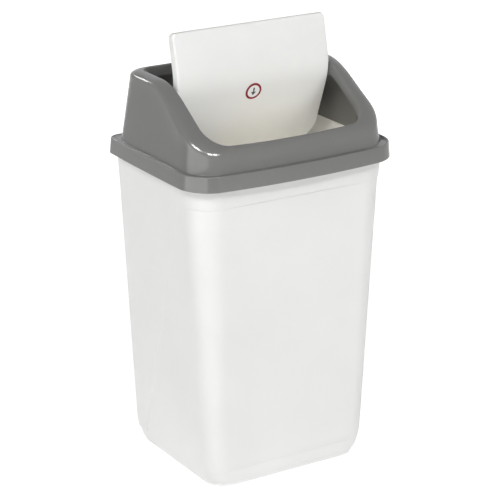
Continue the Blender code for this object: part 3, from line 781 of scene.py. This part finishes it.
def flap_marks():
    """Bend radius and the lengths of the flap's outer face, measured down from its top edge."""
    turn = FLAP_UPPER_LEAN + FLAP_LOWER_LEAN
    radius = FLAP_BEND_TANGENT / math.tan(turn / 2)
    first = FLAP_UPPER_LENGTH - FLAP_BEND_TANGENT
    second = first + radius * turn
    return radius, first, second, second + FLAP_LOWER_LENGTH - FLAP_BEND_TANGENT


def flap_place(down, out):
    """Y and Z of a point down the outer face and out from it."""
    radius, first, second, _ = flap_marks()
    angle = min(max(down - first, 0.0) / radius, (second - first) / radius)
    lean = FLAP_UPPER_LEAN - angle
    top_y = FLAP_BEND_Y + math.sin(FLAP_UPPER_LEAN) * FLAP_BEND_TANGENT
    top_z = FLAP_BEND_Z + math.cos(FLAP_UPPER_LEAN) * FLAP_BEND_TANGENT
    centre_y = top_y + math.cos(FLAP_UPPER_LEAN) * radius
    centre_z = top_z - math.sin(FLAP_UPPER_LEAN) * radius
    y = centre_y - math.cos(lean) * (radius + out)
    z = centre_z + math.sin(lean) * (radius + out)
    past = min(down - first, 0.0) + max(down - second, 0.0)
    return PIVOT_Y + y - math.sin(lean) * past, PIVOT_Z + z - math.cos(lean) * past


def flap_outline(inset):
    """Flat outline of the flap as X and distance down, with a bowed lower edge."""
    width = FLAP_HALF_WIDTH - inset
    foot = flap_marks()[3] - FLAP_LOW_BOW - inset
    small = FLAP_TOP_RADIUS - inset
    large = FLAP_LOW_RADIUS - inset
    half = [(0.0, inset)]
    half += arc(width - small, inset + small, small, -math.pi / 2)
    half += arc(width - large, foot - large, large, 0.0)
    half += [(step / FRONT_STEPS * (width - large), foot) for step in reversed(range(FRONT_STEPS))]
    middle = foot / 2
    points = []
    for x, down in full_outline(half):
        along = max(0.0, (down - middle) / (foot - middle))
        points.append((x, down + FLAP_LOW_BOW * (1 - (x / width) ** 2) * along))
    return points


def flap_rings():
    """Flat rings of the tray: inside face, flange and rounded outer face."""
    soft = FLAP_WALL / 4
    rings = [
        (FLAP_WALL + soft * 2, -FLAP_WALL),
        (FLAP_WALL, -FLAP_WALL - soft * 2),
        (FLAP_WALL, soft - FLAP_FLANGE),
        (FLAP_WALL - soft, -FLAP_FLANGE),
        (soft, -FLAP_FLANGE),
        (0.0, soft - FLAP_FLANGE),
    ]
    for step in range(FLAP_EDGE_STEPS + 1):
        angle = math.pi / 2 * step / FLAP_EDGE_STEPS
        inset = FLAP_EDGE_RADIUS * (1 - math.cos(angle))
        rings.append((inset, FLAP_EDGE_RADIUS * (math.sin(angle) - 1)))
    return [[Vector((x, down, out)) for x, down in flap_outline(inset)] for inset, out in rings]


def cut_rows(bm, rows):
    """Split a flat mesh along rows, so that it can bend."""
    for row in rows:
        geometry = bm.verts[:] + bm.edges[:] + bm.faces[:]
        bmesh.ops.bisect_plane(bm, geom=geometry, plane_co=(0, row, 0), plane_no=(0, 1, 0))


def bend_rows():
    """Rows across the bend and along the straight parts, clear of the bowed lower edge."""
    _, first, second, end = flap_marks()
    rows = [mix(first, second, step / BEND_STEPS) for step in range(BEND_STEPS + 1)]
    rows += [mix(0.0, first, step / UPPER_STEPS) for step in range(1, UPPER_STEPS)]
    rows += [mix(second, end, step / LOWER_STEPS) for step in range(1, LOWER_STEPS - 1)]
    return rows


def bend_mesh(bm):
    """Bend a flat mesh onto the flap's face."""
    for vert in bm.verts:
        x, down, out = vert.co
        vert.co = (x, *flap_place(down, out))


def make_flap(material):
    """Bent flap with a pin on each side."""
    bm = skin(flap_rings(), False)
    cut_rows(bm, bend_rows())
    bend_mesh(bm)
    flap = link_mesh("flap_panel", bm, material, FLAP_SHARP)
    root = FLAP_HALF_WIDTH - PIN_ROOT
    tip = FLAP_HALF_WIDTH + PIN_REACH
    for start, end in ((root, tip), (-tip, -root)):
        pin = make_rod(start, end, PIN_RADIUS, (PIVOT_Y, PIVOT_Z), PIN_BEVEL)
        combine(flap, pin, "UNION")
    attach(flap, "flap")
    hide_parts("swing_flap")


# Label


def label_coordinates(bm, centre):
    """Flat coordinates across the label, kept when it bends."""
    layer = bm.loops.layers.uv.new("label")
    for face in bm.faces:
        for loop in face.loops:
            x, down, _ = loop.vert.co
            reach = LABEL_RADIUS * 2
            loop[layer].uv = (x / reach + 0.5, (down - centre) / reach + 0.5)


def make_label(material):
    """Thin round label that follows the face of the flap."""
    _, first, second, _ = flap_marks()
    centre = FLAP_UPPER_LENGTH + LABEL_DROP - (2 * FLAP_BEND_TANGENT - (second - first))
    bm = bmesh.new()
    bmesh.ops.create_cone(
        bm,
        cap_ends=True,
        segments=LABEL_SIDES,
        radius1=LABEL_RADIUS,
        radius2=LABEL_RADIUS - LABEL_THICKNESS / 2,
        depth=LABEL_THICKNESS,
    )
    bmesh.ops.translate(bm, vec=(0, centre, LABEL_GAP + LABEL_THICKNESS / 2), verts=bm.verts)
    low = centre - LABEL_RADIUS
    high = centre + LABEL_RADIUS
    cut_rows(bm, [mix(low, high, step / LABEL_STEPS) for step in range(1, LABEL_STEPS)])
    label_coordinates(bm, centre)
    bend_mesh(bm)
    label = link_mesh("label_disc", bm, material, FLAP_SHARP)
    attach(label, "flap")
    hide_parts("round_label")


# Camera and stage


def direction(turn, rise):
    """Direction turned from -Y towards +X, and raised."""
    level = math.cos(rise)
    return Vector((math.sin(turn) * level, -math.cos(turn) * level, math.sin(rise)))


def add_camera():
    """Camera at the photograph's angle."""
    right = Vector((math.cos(VIEW_TURN), math.sin(VIEW_TURN), 0.0))
    back = direction(VIEW_TURN, VIEW_RISE)
    data = bpy.data.cameras.new("camera")
    data.lens = VIEW_LENS
    data.sensor_width = SENSOR_WIDTH
    data.clip_end = VIEW_END
    camera = bpy.data.objects.new("camera", data)
    camera.location = VIEW_CENTRE + right * VIEW_SHIFT + back * VIEW_DISTANCE
    camera.rotation_euler = (-back).to_track_quat("-Z", "Y").to_euler()
    bpy.context.scene.collection.objects.link(camera)
    bpy.context.scene.camera = camera


def area_light(name, width, height, power):
    """Light from a rectangle."""
    data = bpy.data.lights.new(name, "AREA")
    data.shape = "RECTANGLE"
    data.size = width
    data.size_y = height
    data.energy = power
    return data


def place_lamp(name, data, place, aim):
    """Put a lamp at a place, turned to its aim and hidden from the camera."""
    lamp = bpy.data.objects.new(name, data)
    lamp.location = place
    lamp.rotation_euler = (aim - place).to_track_quat("-Z", "Y").to_euler()
    lamp.visible_camera = False
    bpy.context.scene.collection.objects.link(lamp)
    return lamp


def add_lamp(name, turn, rise, width, height, power):
    """Soft lamp aimed at the bin."""
    away = direction(math.radians(turn), math.radians(rise))
    data = area_light(name, width, height, power)
    return place_lamp(name, data, LAMP_AIM + away * LAMP_DISTANCE, LAMP_AIM)


def add_matt_lamp(name, *values):
    """Soft lamp that leaves no reflection."""
    add_lamp(name, *values).visible_glossy = False


def add_spark(name, *values):
    """Lamp that only shows as a reflection."""
    add_lamp(name, *values).visible_diffuse = False


def add_card(name, place, width, height, power):
    """Upright card that faces +X and only shows as a reflection."""
    data = area_light(name, width, height, power)
    place_lamp(name, data, place, place + Vector((1.0, 0.0, 0.0))).visible_diffuse = False


def add_inner_lamp(name, place, aim, spread, power):
    """Small warm lamp inside the body that leaves no reflection."""
    data = area_light(name, INNER_LAMP_SIZE, INNER_LAMP_SIZE, power)
    data.spread = math.radians(spread)
    data.color = INNER_LAMP_COLOUR
    place_lamp(name, data, place, aim).visible_glossy = False


def maths(tree, operation, *values):
    """Result of an operation on values that are each a socket or a number."""
    node = tree.nodes.new("ShaderNodeMath")
    node.operation = operation
    for value, entry in zip(values, node.inputs):
        if isinstance(value, float):
            entry.default_value = value
        else:
            tree.links.new(value, entry)
    return node.outputs[0]


def seen_directly(tree):
    """Socket that is 1 for camera, glossy and transmission rays."""
    path = tree.nodes.new("ShaderNodeLightPath")
    seen = maths(tree, "MAXIMUM", path.outputs["Is Camera Ray"], path.outputs["Is Glossy Ray"])
    return maths(tree, "MAXIMUM", seen, path.outputs["Is Transmission Ray"])


def ramp(tree, socket, start, end, low, high):
    """Smooth change from low to high while a value goes from start to end."""
    node = tree.nodes.new("ShaderNodeMapRange")
    node.interpolation_type = "SMOOTHSTEP"
    for name, value in (("From Min", start), ("From Max", end), ("To Min", low), ("To Max", high)):
        node.inputs[name].default_value = value
    tree.links.new(socket, node.inputs["Value"])
    return node.outputs["Result"]


def multiply(tree, first, second):
    """Product of two sockets, or of a socket and a number."""
    return maths(tree, "MULTIPLY", first, second)


def fill_strength(tree):
    """Light of the surroundings by direction: less from above and from behind."""
    coords = tree.nodes.new("ShaderNodeTexCoord")
    split = tree.nodes.new("ShaderNodeSeparateXYZ")
    tree.links.new(coords.outputs["Generated"], split.inputs[0])
    facing = tree.nodes.new("ShaderNodeVectorMath")
    facing.operation = "DOT_PRODUCT"
    facing.inputs[1].default_value = FILL_FACING
    tree.links.new(coords.outputs["Generated"], facing.inputs[0])
    top = ramp(tree, split.outputs["Z"], FILL_TOP_START, FILL_TOP_END, 1.0, FILL_TOP_SHARE)
    rear = ramp(tree, facing.outputs["Value"], FILL_REAR_START, FILL_REAR_END, FILL_REAR_SHARE, 1.0)
    return multiply(tree, multiply(tree, top, rear), FILL_LIGHT)


def add_world():
    """White surroundings that light the bin softly."""
    world = bpy.data.worlds.new("studio")
    world.use_nodes = True
    tree = world.node_tree
    tree.nodes.clear()
    fill = tree.nodes.new("ShaderNodeBackground")
    fill.inputs["Color"].default_value = WHITE
    tree.links.new(fill_strength(tree), fill.inputs["Strength"])
    white = tree.nodes.new("ShaderNodeBackground")
    white.inputs["Color"].default_value = WHITE
    white.inputs["Strength"].default_value = 1.0
    mixer = tree.nodes.new("ShaderNodeMixShader")
    output = tree.nodes.new("ShaderNodeOutputWorld")
    tree.links.new(seen_directly(tree), mixer.inputs[0])
    tree.links.new(fill.outputs[0], mixer.inputs[1])
    tree.links.new(white.outputs[0], mixer.inputs[2])
    tree.links.new(mixer.outputs[0], output.inputs["Surface"])
    bpy.context.scene.world = world


def floor_material():
    """Pale floor that keeps the bin's soft shadow."""
    material = bpy.data.materials.new("studio_floor")
    material.use_nodes = True
    tree = material.node_tree
    tree.nodes.clear()
    matt = tree.nodes.new("ShaderNodeBsdfDiffuse")
    matt.inputs["Color"].default_value = FLOOR_COLOUR
    lift = tree.nodes.new("ShaderNodeEmission")
    lift.inputs["Color"].default_value = WHITE
    tree.links.new(multiply(tree, seen_directly(tree), FLOOR_LIFT), lift.inputs["Strength"])
    both = tree.nodes.new("ShaderNodeAddShader")
    tree.links.new(matt.outputs[0], both.inputs[0])
    tree.links.new(lift.outputs[0], both.inputs[1])
    output = tree.nodes.new("ShaderNodeOutputMaterial")
    tree.links.new(both.outputs[0], output.inputs["Surface"])
    return material


def add_floor():
    """Wide flat floor."""
    bm = bmesh.new()
    bmesh.ops.create_grid(bm, x_segments=2, y_segments=2, size=FLOOR_SIZE / 2)
    mesh = bpy.data.meshes.new("floor")
    bm.to_mesh(mesh)
    bm.free()
    mesh.materials.append(floor_material())
    floor = bpy.data.objects.new("floor", mesh)
    bpy.context.scene.collection.objects.link(floor)


# Finishes


def noise(tree, scale, detail, stretch):
    """Noise on object coordinates, stretched along X, Y and Z."""
    coords = tree.nodes.new("ShaderNodeTexCoord")
    shape = tree.nodes.new("ShaderNodeVectorMath")
    shape.operation = "MULTIPLY"
    shape.inputs[1].default_value = stretch
    tree.links.new(coords.outputs["Object"], shape.inputs[0])
    node = tree.nodes.new("ShaderNodeTexNoise")
    node.inputs["Scale"].default_value = scale
    node.inputs["Detail"].default_value = detail
    tree.links.new(shape.outputs[0], node.inputs["Vector"])
    return node.outputs["Fac"]


def blend(tree, factor, first, second):
    """Colour between two others; each is a colour or a socket."""
    node = tree.nodes.new("ShaderNodeMix")
    node.data_type = "RGBA"
    tree.links.new(factor, node.inputs[0])
    for index, colour in ((6, first), (7, second)):
        if isinstance(colour, tuple):
            node.inputs[index].default_value = (*colour, 1.0)
        else:
            tree.links.new(colour, node.inputs[index])
    return node.outputs[2]


def bump(tree, height, depth, normal):
    """Normal of a surface with a height on it."""
    node = tree.nodes.new("ShaderNodeBump")
    node.inputs["Distance"].default_value = depth
    tree.links.new(height, node.inputs["Height"])
    if normal:
        tree.links.new(normal, node.inputs["Normal"])
    return node.outputs["Normal"]


def faded(tree, tone):
    """Tone of a plastic that drifts slightly from place to place."""
    drift = ramp(tree, noise(tree, *DRIFT_NOISE), *CLOUD_RANGE, 0.0, DRIFT_SHARE)
    return blend(tree, drift, tone, BLACK)


def plastic(name, tone, roughness, gloss, milky, grain):
    """Moulded plastic with a fine grain and a sheen that is not quite even."""
    material = bpy.data.materials.new(name)
    material.use_nodes = True
    tree = material.node_tree
    shader = tree.nodes["Principled BSDF"]
    shader.inputs["Specular IOR Level"].default_value = gloss
    shader.inputs["Subsurface Weight"].default_value = milky
    shader.inputs["Subsurface Radius"].default_value = MILKY_SHARES
    shader.inputs["Subsurface Scale"].default_value = MILKY_DEPTH
    tree.links.new(faded(tree, tone), shader.inputs["Base Color"])
    smoothest = roughness - SHEEN_SPAN
    cloud = ramp(tree, noise(tree, *SHEEN_NOISE), *CLOUD_RANGE, smoothest, roughness)
    rubbed = ramp(tree, noise(tree, *RUB_NOISE), *RUB_RANGE, 0.0, RUB_SPAN)
    tree.links.new(maths(tree, "ADD", cloud, rubbed), shader.inputs["Roughness"])
    wave = bump(tree, noise(tree, *WAVE_NOISE), WAVE_DEPTH, None)
    both = bump(tree, noise(tree, *GRAIN_NOISE), grain, wave)
    tree.links.new(both, shader.inputs["Normal"])
    return material


def between(tree, socket, low, high):
    """Mask that is 1 where a value lies between two others."""
    soft = PRINT_SOFT
    above = ramp(tree, socket, low - soft, low + soft, 0.0, 1.0)
    below = ramp(tree, socket, high - soft, high + soft, 1.0, 0.0)
    return multiply(tree, above, below)


def arrow_mask(tree, across, down):
    """Mask of a plain arrow that points down the label."""
    narrow = between(tree, across, -ARROW_SHAFT, ARROW_SHAFT)
    shaft = multiply(tree, narrow, between(tree, down, *ARROW_SPAN))
    taper = maths(tree, "MULTIPLY_ADD", down, ARROW_TAPER, -ARROW_TAPER * ARROW_TIP)
    slope = maths(tree, "ADD", maths(tree, "ABSOLUTE", across), taper)
    below_shaft = between(tree, down, ARROW_SPAN[1], 1.0)
    head = multiply(tree, between(tree, slope, -1.0, 0.0), below_shaft)
    return maths(tree, "MAXIMUM", shaft, head)


def label_print(material):
    """Print a ring and an arrow on the label, on its own flat coordinates."""
    tree = material.node_tree
    shader = tree.nodes["Principled BSDF"]
    base = shader.inputs["Base Color"].links[0].from_socket
    flat = tree.nodes.new("ShaderNodeUVMap")
    flat.uv_map = "label"
    split = tree.nodes.new("ShaderNodeSeparateXYZ")
    tree.links.new(flat.outputs[0], split.inputs[0])
    across = maths(tree, "MULTIPLY_ADD", split.outputs["X"], 2.0, -1.0)
    down = maths(tree, "MULTIPLY_ADD", split.outputs["Y"], 2.0, -1.0)
    square = maths(tree, "ADD", multiply(tree, across, across), multiply(tree, down, down))
    inked = blend(tree, arrow_mask(tree, across, down), base, PRINT_GREY)
    inside = RING_INSIDE**2
    ring = ramp(tree, square, inside - PRINT_SOFT, inside + PRINT_SOFT, 0.0, 1.0)
    tree.links.new(blend(tree, ring, inked, PRINT_RED), shader.inputs["Base Color"])
    return material


add_camera()
add_world()
add_floor()
add_lamp("side_lamp", *SIDE_LAMP)
add_lamp("front_lamp", *FRONT_LAMP)
add_matt_lamp("low_lamp", *LOW_LAMP)
add_matt_lamp("near_lamp", *NEAR_LAMP)
add_matt_lamp("back_lamp", *BACK_LAMP)
add_lamp("rear_lamp", *REAR_LAMP)
add_spark("side_spark", *SIDE_SPARK)
add_spark("front_spark", *FRONT_SPARK)
add_card("corner_card", *CORNER_CARD)
add_inner_lamp("flap_glow", *FLAP_GLOW)
add_inner_lamp("wall_glow", *WALL_GLOW)
make_body(plastic("body_plastic", *BODY_FINISH))
make_lid(plastic("lid_plastic", *LID_FINISH))
make_flap(plastic("flap_plastic", *FLAP_FINISH))
make_label(label_print(plastic("label_film", *LABEL_FINISH)))

bpy.context.scene.view_settings.view_transform = "Standard"
